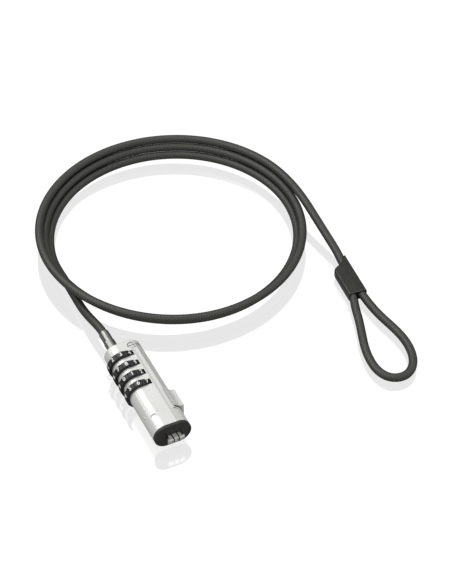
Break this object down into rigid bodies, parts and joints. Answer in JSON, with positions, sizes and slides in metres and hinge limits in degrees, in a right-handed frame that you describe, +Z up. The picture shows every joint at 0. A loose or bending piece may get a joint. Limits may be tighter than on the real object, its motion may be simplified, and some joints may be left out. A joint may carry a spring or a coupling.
{
  "type": "laptop cable lock",
  "caption": "Combination laptop cable lock: obround body, thumb slider, expanding-hook nose, swivelling cable barrel and a coiled steel cable ending in an eye loop.",
  "frame": {"origin": "centre of the nose cap's front face, which rests against the laptop's case", "axes": "-Y out of the nose towards the laptop, +Y along the body towards the cable, +X towards the thumb slider, +Z up when the lock lies flat"},
  "size_m": [0.1372, 0.2018, 0.0148],
  "materials": {
    "housing": "satin silver lacquer on die-cast zinc",
    "slider": "satin silver lacquer on die-cast zinc",
    "cap": "fine matt black moulded plastic",
    "dial": "semi-matt black with white figures",
    "sleeve": "machined",
    "steel": "plain ground steel",
    "hook_steel": "bright nickel-plated steel",
    "spring_steel": "spring steel",
    "pin_steel": "ground pin",
    "barrel": "nickel-plated, crimped",
    "rope": "stranded galvanised wire rope",
    "jacket": "dark grey flexible plastic with a fine braid-like texture",
    "crimp": "pressed",
    "cover": "smooth semi-gloss black shrink cover"
  },
  "bodies": {
    "cable": {"cable_core": "rope", "cable_jacket": "jacket", "crimp_ferrule": "crimp", "crimp_sleeve": "cover", "cable_barrel": "barrel"},
    "lock": {"housing": "housing", "nose_cap": "cap", "nose_block": "steel", "hook_pins": "pin_steel", "hook_springs": "spring_steel", "return_spring": "spring_steel", "detent_spring": "spring_steel", "rear_bush": "pin_steel", "cross_pins": "pin_steel"},
    "slider": {"thumb_slider": "slider", "slider_screw": "pin_steel", "carriage": "steel", "spindle": "steel", "spindle_clip": "spring_steel", "wedge_blade": "hook_steel"},
    "hook_left_body": {"hook_left": "hook_steel"},
    "hook_right_body": {"hook_right": "hook_steel"},
    "code_screw_body": {"code_change_screw": "pin_steel"},
    "dial_1_body": {"dial_1": "dial", "dial_sleeve_1": "sleeve"},
    "dial_2_body": {"dial_2": "dial", "dial_sleeve_2": "sleeve"},
    "dial_3_body": {"dial_3": "dial", "dial_sleeve_3": "sleeve"},
    "dial_4_body": {"dial_4": "dial", "dial_sleeve_4": "sleeve"}
  },
  "joints": [
    {"name": "lock_swivel", "type": "hinge", "parent": "cable", "child": "lock", "pos_m": [-0.00305, 0.0545, 0], "axis": [0, 1, 0], "continuous": true},
    {"name": "dial_1_turn", "type": "hinge", "parent": "lock", "child": "dial_1_body", "pos_m": [-0.00305, 0.0492, 0], "axis": [0, 1, 0], "continuous": true},
    {"name": "dial_2_turn", "type": "hinge", "parent": "lock", "child": "dial_2_body", "pos_m": [-0.00305, 0.04255, 0], "axis": [0, 1, 0], "continuous": true},
    {"name": "dial_3_turn", "type": "hinge", "parent": "lock", "child": "dial_3_body", "pos_m": [-0.00305, 0.0359, 0], "axis": [0, 1, 0], "continuous": true},
    {"name": "dial_4_turn", "type": "hinge", "parent": "lock", "child": "dial_4_body", "pos_m": [-0.00305, 0.02925, 0], "axis": [0, 1, 0], "continuous": true},
    {"name": "slider_travel", "type": "slide", "parent": "lock", "child": "slider", "axis": [0, 1, 0], "range_m": [0, 0.0034], "stiffness_N_per_m": 400, "springref_m": -0.002, "deforming": ["return_spring"]},
    {"name": "hook_left_pivot", "type": "hinge", "parent": "lock", "child": "hook_left_body", "pos_m": [-0.0031, 0.0085, -0.0007], "axis": [0, 0, 1], "range_deg": [0, 3.2]},
    {"name": "hook_right_pivot", "type": "hinge", "parent": "lock", "child": "hook_right_body", "pos_m": [0.0037, 0.0085, -0.0007], "axis": [0, 0, 1], "range_deg": [-3.2, 0]},
    {"name": "code_change_turn", "type": "hinge", "parent": "lock", "child": "code_screw_body", "pos_m": [0.0032, 0.05395, 0.004], "axis": [0, 0, 1], "range_deg": [0, 90]}
  ],
  "couplings": [
    {"joint": "hook_left_pivot", "follows": "slider_travel", "rad_per_m": 15.4},
    {"joint": "hook_right_pivot", "follows": "slider_travel", "rad_per_m": -15.4}
  ]
}
